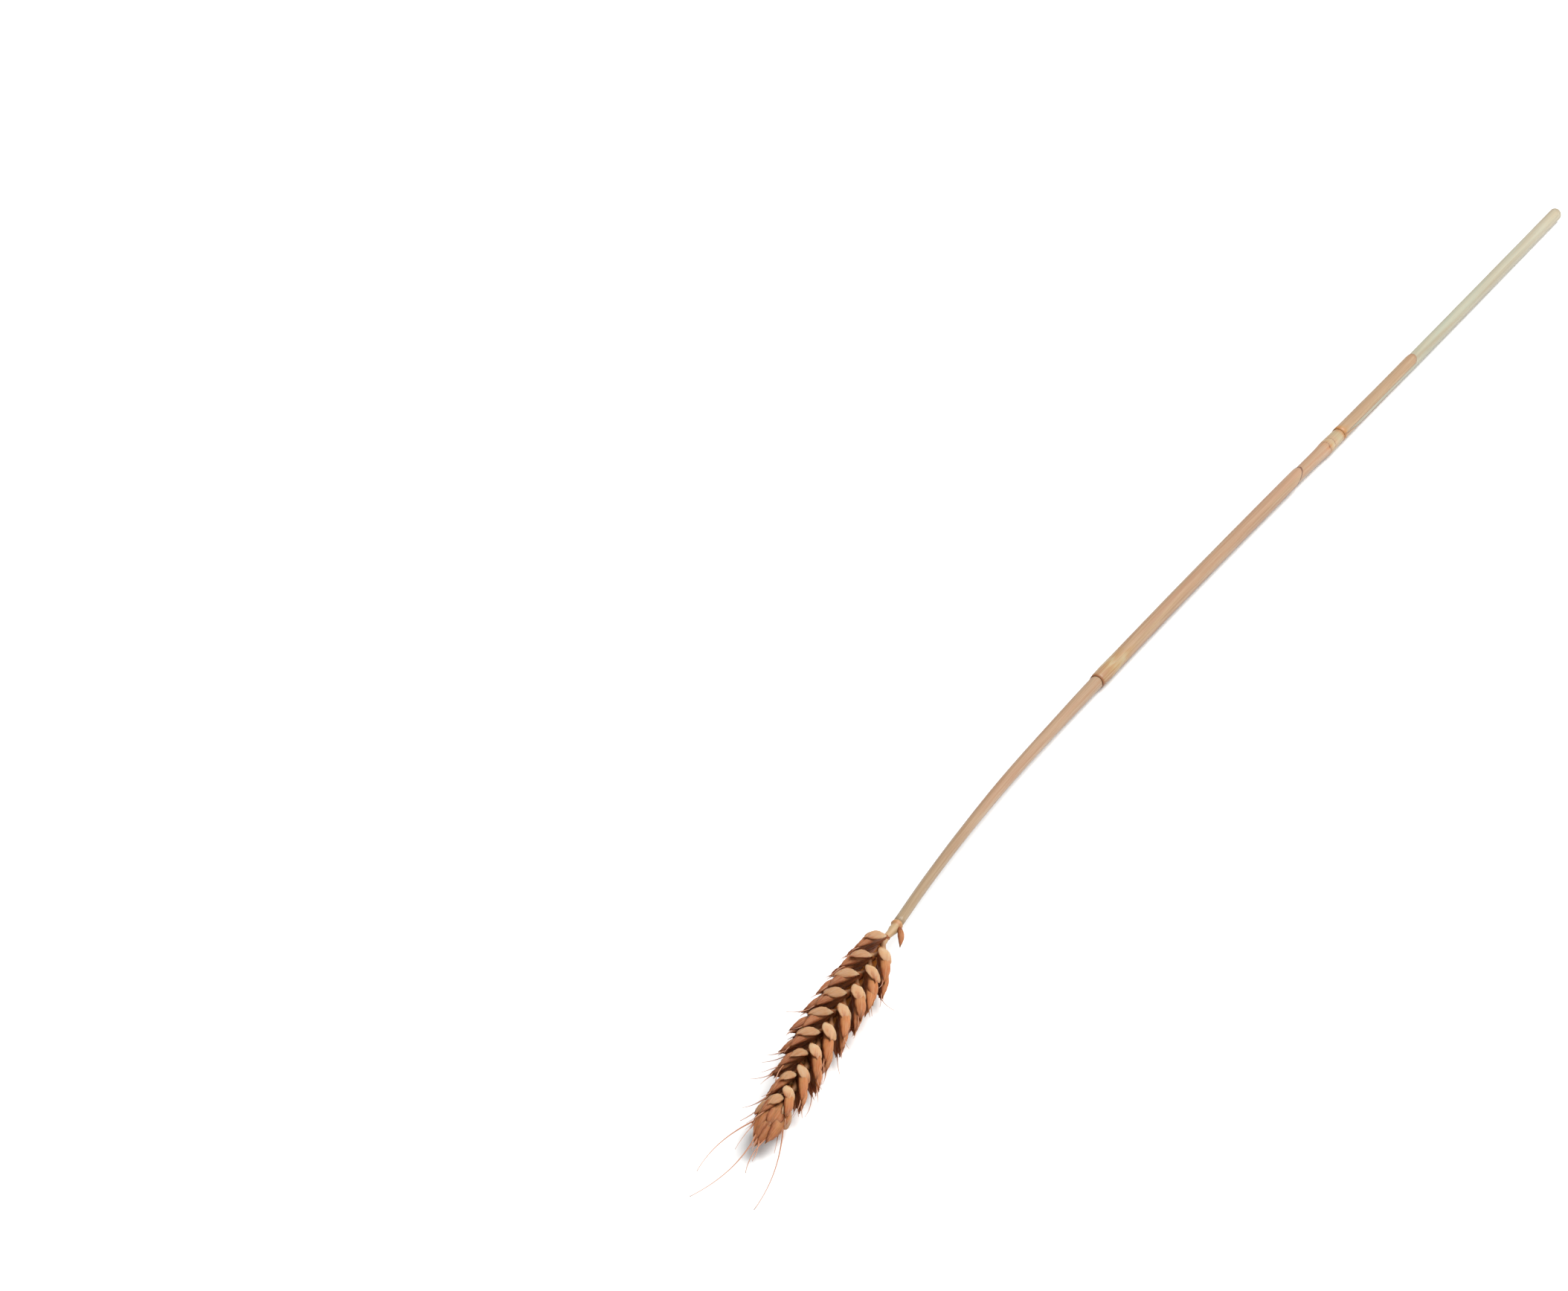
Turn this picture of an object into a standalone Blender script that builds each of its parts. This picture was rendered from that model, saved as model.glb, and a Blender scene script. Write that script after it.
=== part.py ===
"""Dried wheat ear on its cut straw, lying on its side.

Four pieces that touch nothing but the surface and hold together as one body:
the ear, the stalk, the flag leaf's sheath and the second leaf's sheath.
Lengths are in millimetres and become metres in mm(). The ear points to -X
and the cut end to +X. The part is moved at the end, so that the origin is
the middle of its box at the height of the surface.
"""

import math
import random

import bmesh
import bpy
from mathutils import Matrix, Vector

# Centre line of the whole thing, from the ear's tip to the cut end: X, Y and height.
ROUTE = [
    (-116.0, -18.3, 6.4),
    (-94.3, -15.9, 7.6),
    (-70.4, -12.1, 8.2),
    (-42.7, -8.9, 8.4),
    (-10.8, -5.4, 8.0),
    (14.6, -2.1, 6.8),
    (42.6, 0.9, 5.4),
    (77.1, 3.4, 4.2),
    (115.9, 4.4, 3.5),
    (143.0, 4.6, 3.15),
    (211.8, 3.9, 3.3),
    (297.9, 2.3, 3.3),
    (324.2, 1.6, 3.2),
    (393.2, 0.2, 3.1),
    (537.7, -1.6, 2.35),
]
EAR_BASE_X = -10.8
CUT_END_X = 537.7
JOIN_GAP = 0.3

# Stalk: (X, radius). The swelling near 322 is the growth node.
STALK_RADII = [
    (EAR_BASE_X, 1.45),
    (20.0, 1.5),
    (60.0, 1.65),
    (120.0, 1.85),
    (142.0, 1.85),
    (150.0, 1.6),
    (298.0, 1.6),
    (306.0, 1.95),
    (316.0, 2.15),
    (321.0, 2.5),
    (325.0, 2.5),
    (329.0, 1.75),
    (380.0, 1.75),
    (394.0, 2.05),
    (402.0, 2.3),
    (CUT_END_X, 2.35),
]
STALK_SIDES = 12
HOLLOW_RADIUS = 1.55
HOLLOW_DEPTH = 14.0
CUT_SLANT_DEG = 12.0

# Sheaths: (X, outer radius) from the mouth to the tongue-shaped end.
SHEATH_WALL = 0.6
FLAG_SHEATH = [
    (143.0, 3.1),
    (146.5, 2.85),
    (150.0, 2.75),
    (158.0, 2.5),
    (299.0, 2.55),
]
SECOND_SHEATH = [(330.5, 2.7), (336.0, 2.6), (376.0, 2.65), (396.0, 3.1)]
FLAG_TONGUE = 13.0
SECOND_TONGUE = 8.0

# Ear: the spikelets sit left and right in turn, up the zigzag rachis.
EAR_ROLL_DEG = 20.0
RACHIS_LENGTH = 90.0
RACHIS_RADIUS = 1.25
ZIGZAG = 0.55
RING_RADIUS = 2.0
FIRST_SPIKELET = 9.3
SPIKELET_STEP = 4.8
SPIKELETS = 17
SPLAY_DEG = 25.0
TERMINAL_AT = 88.5
TERMINAL_FULLNESS = 1.3

# Scales of one spikelet: start along it, sideways offset, fan angle, length, width,
# depth. The sign of the offset is the face of the ear that the scale is on.
GLUME = (-1.2, 1.55, 12.0, 9.2, 4.3, 3.0)
FLORETS = [
    (1.2, 1.25, 9.0, 13.2, 3.8, 3.0),
    (2.0, -1.25, -9.0, 13.0, 3.8, 3.0),
    (4.6, 0.4, 4.5, 12.0, 3.1, 2.7),
    (6.2, -0.4, -5.5, 10.4, 2.7, 2.4),
]
# The stub that carries a spikelet's scales, sunk in the rachis.
STUB = (-2.6, 0.0, 0.0, 12.0, 2.7, 3.0)
SCALE_SIDES = 6
SCALE_RINGS = 5

AWN_BASE_RADIUS = 0.34
AWN_TIP_RADIUS = 0.17
# Long awns near the tip: spikelet number (the last is the terminal one), length,
# lean to the left and lean upwards, in degrees from the ear's own line.
LONG_AWNS = [
    (12, 9.0, -14.0, 2.0),
    (14, 12.0, 16.0, 4.0),
    (15, 26.0, -8.0, -3.0),
    (16, 18.0, 17.0, 3.0),
    (17, 23.0, 14.0, 3.0),
    (17, 9.0, 3.0, -2.0),
    (17, 7.0, -14.0, 3.0),
]

SEED = 11

SCALE_COLOUR = (0.50, 0.27, 0.12, 1.0)
STALK_COLOUR = (0.66, 0.50, 0.33, 1.0)
FLAG_COLOUR = (0.75, 0.53, 0.33, 1.0)
SECOND_COLOUR = (0.62, 0.42, 0.26, 1.0)


def mm(value):
    return value * 0.001


def clearScene():
    for obj in list(bpy.data.objects):
        bpy.data.objects.remove(obj, do_unlink=True)


def makeCollection(name, hidden=False):
    collection = bpy.data.collections.new(name)
    bpy.context.scene.collection.children.link(collection)
    collection.hide_render = hidden
    return collection


def makeMaterial(name, colour, roughness):
    material = bpy.data.materials.new(name)
    material.use_nodes = True
    shader = material.node_tree.nodes["Principled BSDF"]
    shader.inputs["Base Color"].default_value = colour
    shader.inputs["Roughness"].default_value = roughness
    shader.inputs["Metallic"].default_value = 0.0
    return material


def addObject(name, mesh, collection, material=None):
    obj = bpy.data.objects.new(name, mesh)
    collection.objects.link(obj)
    if material:
        mesh.materials.clear()
        mesh.materials.append(material)
    return obj


def routePoint(x):
    """The centre line at X, by a smooth curve through ROUTE."""
    last = len(ROUTE) - 2
    index = 0
    while index < last and ROUTE[index + 1][0] < x:
        index += 1
    before = Vector(ROUTE[max(index - 1, 0)])
    start = Vector(ROUTE[index])
    end = Vector(ROUTE[index + 1])
    after = Vector(ROUTE[min(index + 2, len(ROUTE) - 1)])
    span = end.x - start.x
    t = (x - start.x) / span
    slopeIn = (end - before) / (end.x - before.x) * span
    slopeOut = (after - start) / (after.x - start.x) * span
    point = (
        start * (2 * t**3 - 3 * t**2 + 1)
        + slopeIn * (t**3 - 2 * t**2 + t)
        + end * (3 * t**2 - 2 * t**3)
        + slopeOut * (t**3 - t**2)
    )
    point.x = x
    return point


def radiusAt(stations, x):
    for (x0, r0), (x1, r1) in zip(stations, stations[1:]):
        if x <= x1:
            return r0 + (r1 - r0) * max(0.0, (x - x0) / (x1 - x0))
    return stations[-1][1]


def stationsAlong(start, end, step, extra=()):
    count = max(1, round((end - start) / step))
    found = [start + (end - start) * i / count for i in range(count + 1)]
    found += [x for x in extra if start < x < end]
    kept = []
    for x in sorted(found):
        if not kept or x - kept[-1] > 1.0:
            kept.append(x)
    kept[-1] = end
    return kept


def sweepMesh(name, points, radii, sides):
    """A solid round bar through the points, made from a bevelled curve with its ends filled."""
    curve = bpy.data.curves.new(name, "CURVE")
    curve.dimensions = "3D"
    curve.bevel_depth = mm(1.0)
    curve.bevel_resolution = (sides - 4) // 2
    curve.use_fill_caps = True
    spline = curve.splines.new("POLY")
    spline.points.add(len(points) - 1)
    for place, point, radius in zip(spline.points, points, radii):
        place.co = (mm(point.x), mm(point.y), mm(point.z), 1.0)
        place.radius = radius
    guide = bpy.data.objects.new(name + "_guide", curve)
    mesh = bpy.data.meshes.new_from_object(guide)
    bpy.data.objects.remove(guide)
    bpy.data.curves.remove(curve)
    cleaned = bmesh.new()
    cleaned.from_mesh(mesh)
    bpy.data.meshes.remove(mesh)
    bmesh.ops.scale(cleaned, vec=Vector((1000.0, 1000.0, 1000.0)), verts=cleaned.verts)
    bmesh.ops.remove_doubles(cleaned, verts=cleaned.verts, dist=0.001)
    return finishShape(name, cleaned)


def applyModifiers(obj):
    graph = bpy.context.evaluated_depsgraph_get()
    mesh = bpy.data.meshes.new_from_object(obj.evaluated_get(graph))
    obj.modifiers.clear()
    obj.data = mesh


def cutWith(obj, cutter):
    """Takes the cutter's shape out of the object, and applies it."""
    modifier = obj.modifiers.new("cut_" + cutter.name, "BOOLEAN")
    modifier.operation = "DIFFERENCE"
    modifier.solver = "MANIFOLD"
    modifier.object = cutter
    bpy.context.view_layer.update()
    applyModifiers(obj)


def slantedBlock(name, x, run, size, cutters):
    """A block whose near face leans, so that what it cuts runs out in a tongue on top."""
    centre = routePoint(x)
    bpy.ops.mesh.primitive_cube_add(size=mm(size))
    block = bpy.context.active_object
    block.name = name
    for held in list(block.users_collection):
        held.objects.unlink(block)
    cutters.objects.link(block)
    lean = math.atan2(run, 5.2)
    block.rotation_euler = (0.0, lean, 0.0)
    face = Matrix.Rotation(lean, 3, "Y") @ Vector((1.0, 0.0, 0.0))
    block.location = (centre + face * size / 2) * 0.001
    block.hide_render = True
    block.display_type = "WIRE"
    bpy.context.view_layer.update()
    return block


def buildStalk(parts, cutters, material):
    start = EAR_BASE_X + JOIN_GAP
    along = stationsAlong(start, CUT_END_X, 16.0, [x for x, _ in STALK_RADII])
    points = [routePoint(x) for x in along]
    radii = [radiusAt(STALK_RADII, x) for x in along]
    stalk = addObject(
        "stalk", sweepMesh("stalk", points, radii, STALK_SIDES), parts, material
    )
    hollow = [
        routePoint(CUT_END_X - HOLLOW_DEPTH),
        routePoint(CUT_END_X) + Vector((6.0, 0.0, 0.0)),
    ]
    bore = addObject(
        "straw_hollow", sweepMesh("straw_hollow", hollow, [HOLLOW_RADIUS] * 2, 12), cutters
    )
    slant = 5.0 * math.tan(math.radians(CUT_SLANT_DEG))
    saw = slantedBlock("straw_cut", CUT_END_X - slant, slant, 12.0, cutters)
    for cutter in (bore, saw):
        cutter.hide_render = True
        cutter.display_type = "WIRE"
        cutWith(stalk, cutter)
    return stalk


def buildSheath(name, stations, tongue, parts, cutters, material):
    start = stations[0][0]
    end = stations[-1][0]
    along = stationsAlong(start, end, 16.0, [x for x, _ in stations])
    points = [routePoint(x) for x in along]
    radii = [radiusAt(stations, x) for x in along]
    sheath = addObject(
        name, sweepMesh(name, points, radii, STALK_SIDES), parts, material
    )
    inside = [start - 3.0] + along[1:-1] + [end + 3.0]
    bore = addObject(
        name + "_inside",
        sweepMesh(
            name + "_inside",
            [routePoint(x) for x in inside],
            [radius - SHEATH_WALL for radius in radii],
            STALK_SIDES,
        ),
        cutters,
    )
    bore.hide_render = True
    bore.display_type = "WIRE"
    trim = slantedBlock(name + "_tongue", end - tongue / 2, tongue, 40.0, cutters)
    cutWith(sheath, trim)
    cutWith(sheath, bore)
    return sheath


def earFrame(along):
    """Position and directions at a distance from the ear's base: tip-ward, left, up."""
    x = EAR_BASE_X - along
    here = routePoint(x)
    tipward = (routePoint(x - 1.0) - routePoint(x + 1.0)).normalized()
    left = Vector((0.0, 0.0, -1.0)).cross(tipward).normalized()
    up = left.cross(tipward).normalized()
    if up.z < 0.0:
        up = -up
    roll = math.radians(EAR_ROLL_DEG)
    rolledLeft = left * math.cos(roll) + up * math.sin(roll)
    rolledUp = up * math.cos(roll) - left * math.sin(roll)
    return here, tipward, rolledLeft, rolledUp


def finishShape(name, shape):
    """Turns a closed shape in millimetres into a mesh whose faces look outwards."""
    bmesh.ops.recalc_face_normals(shape, faces=shape.faces)
    if shape.calc_volume(signed=True) < 0.0:
        bmesh.ops.reverse_faces(shape, faces=shape.faces)
    bmesh.ops.scale(shape, vec=Vector((0.001, 0.001, 0.001)), verts=shape.verts)
    mesh = bpy.data.meshes.new(name)
    shape.to_mesh(mesh)
    shape.free()
    return mesh


def scaleMesh(name, base, direction, keel, length, width, depth, inward):
    """One husk scale: a sphere drawn out to a pointed boat with a keel on its outer side."""
    across = direction.cross(keel).normalized()
    outward = across.cross(direction).normalized()
    shape = bmesh.new()
    bmesh.ops.create_uvsphere(
        shape, u_segments=SCALE_SIDES, v_segments=SCALE_RINGS, radius=1.0
    )
    for vert in shape.verts:
        t = math.acos(max(-1.0, min(1.0, vert.co.z))) / math.pi
        turn = math.atan2(vert.co.y, vert.co.x)
        fullness = math.sin(math.pi * t**0.66) ** 0.8 if 0.0 < t < 1.0 else 0.0
        ridge = max(0.0, math.cos(turn)) ** 3
        outer = math.cos(turn) * depth / 2 * fullness * (1.0 + 0.35 * ridge)
        wide = math.sin(turn) * width / 2 * fullness
        bow = depth * 0.30 * math.sin(math.pi * t) - inward * t * t
        point = base + direction * (length * t) + across * wide
        vert.co = point + outward * (outer + bow)
    return finishShape(name, shape)


def awnMesh(name, start, direction, length, droop):
    """A bristle: a thin cone with three sides, bent a little down along its length."""
    side = direction.cross(Vector((0.0, 0.0, 1.0))).normalized()
    top = side.cross(direction).normalized()
    shape = bmesh.new()
    bmesh.ops.create_cone(
        shape,
        cap_ends=True,
        segments=3,
        radius1=AWN_BASE_RADIUS,
        radius2=AWN_TIP_RADIUS,
        depth=1.0,
    )
    for vert in shape.verts:
        t = vert.co.z + 0.5
        point = start + direction * (length * t) + side * vert.co.x + top * vert.co.y
        vert.co = point + Vector((0.0, 0.0, -droop * t * t))
    return finishShape(name, shape)


def addScale(repeats, name, place, axis, outward, face, scale, size, draw):
    """One scale of a spikelet. Returns where its tip is and which way it points."""
    start, offset, fan, length, width, depth = scale
    if name.endswith("terminal"):
        width *= TERMINAL_FULLNESS
    turn = math.radians(fan + draw.uniform(-2.5, 2.5))
    direction = (axis * math.cos(turn) + face * math.sin(turn)).normalized()
    side = 1.0 if offset >= 0.0 else -1.0
    keel = (face * side * 0.88 + outward * 0.47).normalized()
    base = place + axis * (start * size) + face * (offset * size)
    length = length * size * draw.uniform(0.95, 1.05)
    inward = 0.10 * length
    mesh = scaleMesh(
        name, base, direction, keel, length, width * size, depth * size, inward
    )
    addObject(name, mesh, repeats)
    tip = base + direction * length - keel * inward
    return tip, (direction - keel * 0.10).normalized()


def addSpikelet(number, repeats, draw):
    """Two glumes and four florets. Returns the floret tips with their directions."""
    terminal = number == SPIKELETS
    along = TERMINAL_AT if terminal else FIRST_SPIKELET + SPIKELET_STEP * number
    here, tipward, left, up = earFrame(along)
    hand = 1.0 if number % 2 == 0 else -1.0
    if terminal:
        # The last spikelet is turned a quarter, so its fan lies in the ear's plane.
        axis, outward, face = tipward, up, left
        place = here
        size = 1.0
    else:
        splay = math.radians(SPLAY_DEG + draw.uniform(-2.0, 2.0))
        if number > SPIKELETS - 5:
            splay *= 1.0 - 0.10 * (number - SPIKELETS + 5)
        axis = (tipward * math.cos(splay) + left * (hand * math.sin(splay))).normalized()
        outward = (left * (hand * math.cos(splay)) - tipward * math.sin(splay)).normalized()
        face = up
        place = here + left * (hand * (ZIGZAG + 0.25))
        fill = math.sin(math.pi * min(1.0, 0.28 + 0.8 * number / SPIKELETS))
        size = 0.84 + 0.20 * fill
    tips = []
    label = "terminal" if terminal else str(number)
    name = f"stub_{label}"
    addScale(repeats, name, place, axis, outward, face, STUB, size, draw)
    for sign in (1.0, -1.0):
        start, offset, fan, length, width, depth = GLUME
        glume = (start, offset * sign, fan * sign, length, width, depth)
        name = f"glume_{'up' if sign > 0.0 else 'down'}_{label}"
        addScale(repeats, name, place, axis, outward, face, glume, size, draw)
    for index, floret in enumerate(FLORETS):
        name = f"floret_{index}_{label}"
        tips.append(
            addScale(repeats, name, place, axis, outward, face, floret, size, draw)
        )
    return tips


def addSterileScale(repeats, draw):
    """The small pointed scale that hangs under the ring on the right."""
    here, tipward, left, up = earFrame(1.2)
    axis = (tipward * 0.88 - left * 0.44).normalized()
    outward = (-left * 0.9 - tipward * 0.3).normalized()
    scale = (0.0, 0.4, 2.0, 8.0, 2.4, 1.9)
    addScale(repeats, "sterile_scale", here - left * 0.9, axis, outward, up, scale, 1.0, draw)


def addBristles(repeats, number, tips, draw):
    """Short bristles on every other floret's tip, rooted well inside it."""
    for index, (tip, direction) in enumerate(tips):
        if index % 2:
            continue
        length = draw.uniform(2.2, 4.2) + (1.5 if number > 10 else 0.0)
        start = tip - direction * 2.2
        addObject(
            f"bristle_{number}_{index}",
            awnMesh("bristle", start, direction, 2.2 + length, 0.0),
            repeats,
        )


def addLongAwns(repeats, allTips):
    for index, (number, length, leftLean, upLean) in enumerate(LONG_AWNS):
        tips = allTips[number]
        tip, _ = tips[index % len(tips)]
        _, tipward, left, up = earFrame(RACHIS_LENGTH)
        lean = math.tan(math.radians(leftLean))
        rise = math.tan(math.radians(upLean))
        direction = (tipward + left * lean + up * rise).normalized()
        start = tip - direction * 2.5
        addObject(
            f"awn_{index}",
            awnMesh("awn", start, direction, 2.5 + length, min(2.0, length * 0.08)),
            repeats,
        )


def rachisMesh():
    """The ear's zigzag spine, with the ring at its foot."""
    distances = [0.0, 0.6, 1.2, 2.0]
    radii = [RING_RADIUS - 0.35, RING_RADIUS, RING_RADIUS - 0.1, RACHIS_RADIUS + 0.1]
    offsets = [0.0, 0.0, 0.0, 0.0]
    for number in range(SPIKELETS):
        distances.append(FIRST_SPIKELET + SPIKELET_STEP * number)
        radii.append(RACHIS_RADIUS - 0.35 * number / SPIKELETS)
        offsets.append(ZIGZAG * (1.0 if number % 2 == 0 else -1.0))
    distances.append(RACHIS_LENGTH)
    radii.append(RACHIS_RADIUS - 0.4)
    offsets.append(0.0)
    points = []
    for along, offset in zip(distances, offsets):
        here, _, left, _ = earFrame(along)
        points.append(here + left * offset)
    return sweepMesh("ear", points, radii, 8)


def keepOneBody(obj):
    """Keeps the outer skin: scraps are dropped, and sealed hollows are filled by dropping their walls."""
    shape = bmesh.new()
    shape.from_mesh(obj.data)
    unseen = set(shape.verts)
    islands = []
    while unseen:
        stack = [unseen.pop()]
        island = set(stack)
        while stack:
            for edge in stack.pop().link_edges:
                for vert in edge.verts:
                    if vert in unseen:
                        unseen.discard(vert)
                        island.add(vert)
                        stack.append(vert)
        islands.append(island)
    largest = max(islands, key=len)
    spare = [vert for vert in shape.verts if vert not in largest]
    bmesh.ops.delete(shape, geom=spare, context="VERTS")
    shape.to_mesh(obj.data)
    shape.free()
    print("ear: kept the largest of", len(islands), "bodies")


def buildEar(parts, material):
    """The rachis and every scale and bristle, fused by one union."""
    draw = random.Random(SEED)
    repeats = makeCollection("ear_repeats")
    ear = addObject("ear", rachisMesh(), parts, material)
    allTips = []
    for number in range(SPIKELETS + 1):
        tips = addSpikelet(number, repeats, draw)
        addBristles(repeats, number, tips, draw)
        allTips.append(tips)
    addSterileScale(repeats, draw)
    addLongAwns(repeats, allTips)
    modifier = ear.modifiers.new("fuse", "BOOLEAN")
    modifier.operation = "UNION"
    modifier.solver = "MANIFOLD"
    modifier.operand_type = "COLLECTION"
    modifier.collection = repeats
    bpy.context.view_layer.update()
    applyModifiers(ear)
    for obj in list(repeats.objects):
        bpy.data.objects.remove(obj, do_unlink=True)
    bpy.data.collections.remove(repeats)
    keepOneBody(ear)
    ear.data.materials.clear()
    ear.data.materials.append(material)
    return ear


def centreOnSurface(nodes):
    """Puts the origin at the middle of the box in X and Y, and the lowest point at height 0."""
    corners = [vert.co for node in nodes for vert in node.data.vertices]
    low = Vector([min(point[axis] for point in corners) for axis in range(3)])
    high = Vector([max(point[axis] for point in corners) for axis in range(3)])
    shift = Vector((-(low.x + high.x) / 2, -(low.y + high.y) / 2, -low.z))
    for node in nodes:
        node.data.calc_loop_triangles()
        print(node.name, "triangles", len(node.data.loop_triangles))
        bottom = min(vert.co.z for vert in node.data.vertices)
        print(node.name, "lowest point in mm", round((bottom - low.z) * 1000, 3))
        node.data.transform(Matrix.Translation(shift))
    print("moved by mm", [round(value * 1000, 2) for value in shift])


def main():
    clearScene()
    parts = makeCollection("wheat_ear")
    cutters = makeCollection("cutters", hidden=True)
    stalk = buildStalk(parts, cutters, makeMaterial("straw", STALK_COLOUR, 0.5))
    flag = buildSheath(
        "flag_leaf_sheath",
        FLAG_SHEATH,
        FLAG_TONGUE,
        parts,
        cutters,
        makeMaterial("flag_sheath", FLAG_COLOUR, 0.5),
    )
    second = buildSheath(
        "second_leaf_sheath",
        SECOND_SHEATH,
        SECOND_TONGUE,
        parts,
        cutters,
        makeMaterial("second_sheath", SECOND_COLOUR, 0.5),
    )
    ear = buildEar(parts, makeMaterial("ear_husk", SCALE_COLOUR, 0.6))
    centreOnSurface([stalk, flag, second, ear])


main()
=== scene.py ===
import math
import random

import bmesh
import bpy
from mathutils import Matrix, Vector, noise


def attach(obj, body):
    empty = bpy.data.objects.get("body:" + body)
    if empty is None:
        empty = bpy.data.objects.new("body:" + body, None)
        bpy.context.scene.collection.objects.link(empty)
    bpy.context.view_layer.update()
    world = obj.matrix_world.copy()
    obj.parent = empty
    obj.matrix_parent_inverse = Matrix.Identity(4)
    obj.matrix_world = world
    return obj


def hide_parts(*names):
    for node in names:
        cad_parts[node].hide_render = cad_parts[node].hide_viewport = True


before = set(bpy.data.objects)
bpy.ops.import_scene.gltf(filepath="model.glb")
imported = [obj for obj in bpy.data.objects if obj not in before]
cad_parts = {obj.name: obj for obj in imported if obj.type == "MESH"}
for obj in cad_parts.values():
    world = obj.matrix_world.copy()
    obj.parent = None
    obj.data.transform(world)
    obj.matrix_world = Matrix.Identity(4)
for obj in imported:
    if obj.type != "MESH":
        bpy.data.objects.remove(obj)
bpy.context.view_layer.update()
print("frame loaded:", sorted(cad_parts))

# The plant's centre line from the ear's tip to the cut end, in millimetres, as in the CAD.
route = [
    (-116.0, -18.3, 6.4),
    (-94.3, -15.9, 7.6),
    (-70.4, -12.1, 8.2),
    (-42.7, -8.9, 8.4),
    (-10.8, -5.4, 8.0),
    (14.6, -2.1, 6.8),
    (42.6, 0.9, 5.4),
    (77.1, 3.4, 4.2),
    (115.9, 4.4, 3.5),
    (143.0, 4.6, 3.15),
    (211.8, 3.9, 3.3),
    (297.9, 2.3, 3.3),
    (324.2, 1.6, 3.2),
    (393.2, 0.2, 3.1),
    (537.7, -1.6, 2.35),
]
earBaseX = -10.8
cutEndX = 537.7
joinGap = 0.3


def routePoint(x):
    last = len(route) - 2
    index = 0
    while index < last and route[index + 1][0] < x:
        index += 1
    before = Vector(route[max(index - 1, 0)])
    start = Vector(route[index])
    end = Vector(route[index + 1])
    after = Vector(route[min(index + 2, len(route) - 1)])
    span = end.x - start.x
    t = (x - start.x) / span
    slopeIn = (end - before) / (end.x - before.x) * span
    slopeOut = (after - start) / (after.x - start.x) * span
    point = (
        start * (2 * t**3 - 3 * t**2 + 1)
        + slopeIn * (t**3 - 2 * t**2 + t)
        + end * (3 * t**2 - 2 * t**3)
        + slopeOut * (t**3 - t**2)
    )
    point.x = x
    return point


def neckCentre():
    # the middle of the stalk's first ring tells how far the CAD moved its route
    points = [vert.co * 1000 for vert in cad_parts["stalk"].data.vertices]
    first = min(point.x for point in points)
    ring = [point for point in points if point.x < first + 1.0]
    return sum(ring, Vector()) / len(ring)


rowShift = neckCentre() - routePoint(earBaseX + joinGap)
print("route moved by", [round(value, 2) for value in rowShift])


def toRow(point):
    return (point + rowShift) * 0.001


def profile(stations, t):
    # smooth value between (position, value) pairs
    for (t0, v0), (t1, v1) in zip(stations, stations[1:]):
        if t <= t1:
            u = max(0.0, (t - t0) / (t1 - t0))
            u = u * u * (3 - 2 * u)
            return v0 + (v1 - v0) * u
    return stations[-1][1]


def straight(stations, x):
    for (x0, v0), (x1, v1) in zip(stations, stations[1:]):
        if x <= x1:
            return v0 + (v1 - v0) * max(0.0, (x - x0) / (x1 - x0))
    return stations[-1][1]


# Meshes carry two vectors for their materials. "grain" is the place on the piece in millimetres,
# lengthwise in Z, and a husk keeps its own tone in Y. "growth" is how far along the piece a point
# is, how near an edge or node, and how ripe, with painted light and shade by row added to the ripeness
# and up to 2 taken off deep inside the ear as painted shade.
def newShape():
    shape = bmesh.new()
    grain = shape.verts.layers.float_vector.new("grain")
    growth = shape.verts.layers.float_vector.new("growth")
    return shape, grain, growth


def addGrid(work, rows, closed=False, capEnds=False):
    # rows is a list of rings of (point, grain, growth)
    shape, grain, growth = work
    made = []
    for ring in rows:
        line = []
        for point, grainPlace, growthPlace in ring:
            vert = shape.verts.new(point)
            vert[grain] = grainPlace
            vert[growth] = growthPlace
            line.append(vert)
        made.append(line)
    for lower, upper in zip(made, made[1:]):
        count = len(lower)
        for i in range(count if closed else count - 1):
            j = (i + 1) % count
            shape.faces.new((lower[i], lower[j], upper[j], upper[i]))
    if capEnds:
        shape.faces.new(list(reversed(made[0])))
        shape.faces.new(made[-1])


def finishPiece(name, work, material, replaced, thickness=0.0):
    shape = work[0]
    bmesh.ops.recalc_face_normals(shape, faces=shape.faces)
    for vert in shape.verts:
        vert.co = toRow(vert.co)
    for face in shape.faces:
        face.smooth = True
    mesh = bpy.data.meshes.new(name)
    shape.to_mesh(mesh)
    shape.free()
    piece = bpy.data.objects.new(name, mesh)
    bpy.context.scene.collection.objects.link(piece)
    mesh.materials.append(material)
    if thickness:
        wall = piece.modifiers.new("wall", "SOLIDIFY")
        wall.thickness = thickness * 0.001
        wall.offset = -1.0
        wall.use_even_offset = False
    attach(piece, "root")
    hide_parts(replaced)
    print(name, len(mesh.polygons), "faces")


def addNode(tree, kind, **settings):
    node = tree.nodes.new(kind)
    for key, value in settings.items():
        setattr(node, key, value)
    return node


def feed(tree, source, socket):
    # source is an output socket, or a plain value
    if isinstance(source, bpy.types.NodeSocket):
        tree.links.new(source, socket)
    else:
        socket.default_value = source


def mathNode(tree, operation, first, second=None):
    node = addNode(tree, "ShaderNodeMath", operation=operation)
    feed(tree, first, node.inputs[0])
    if second is not None:
        feed(tree, second, node.inputs[1])
    return node.outputs[0]


def mixColour(tree, factor, first, second, blend="MIX"):
    node = addNode(tree, "ShaderNodeMix", data_type="RGBA", blend_type=blend)
    feed(tree, factor, node.inputs[0])
    feed(tree, first, node.inputs[6])
    feed(tree, second, node.inputs[7])
    return node.outputs[2]


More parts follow.
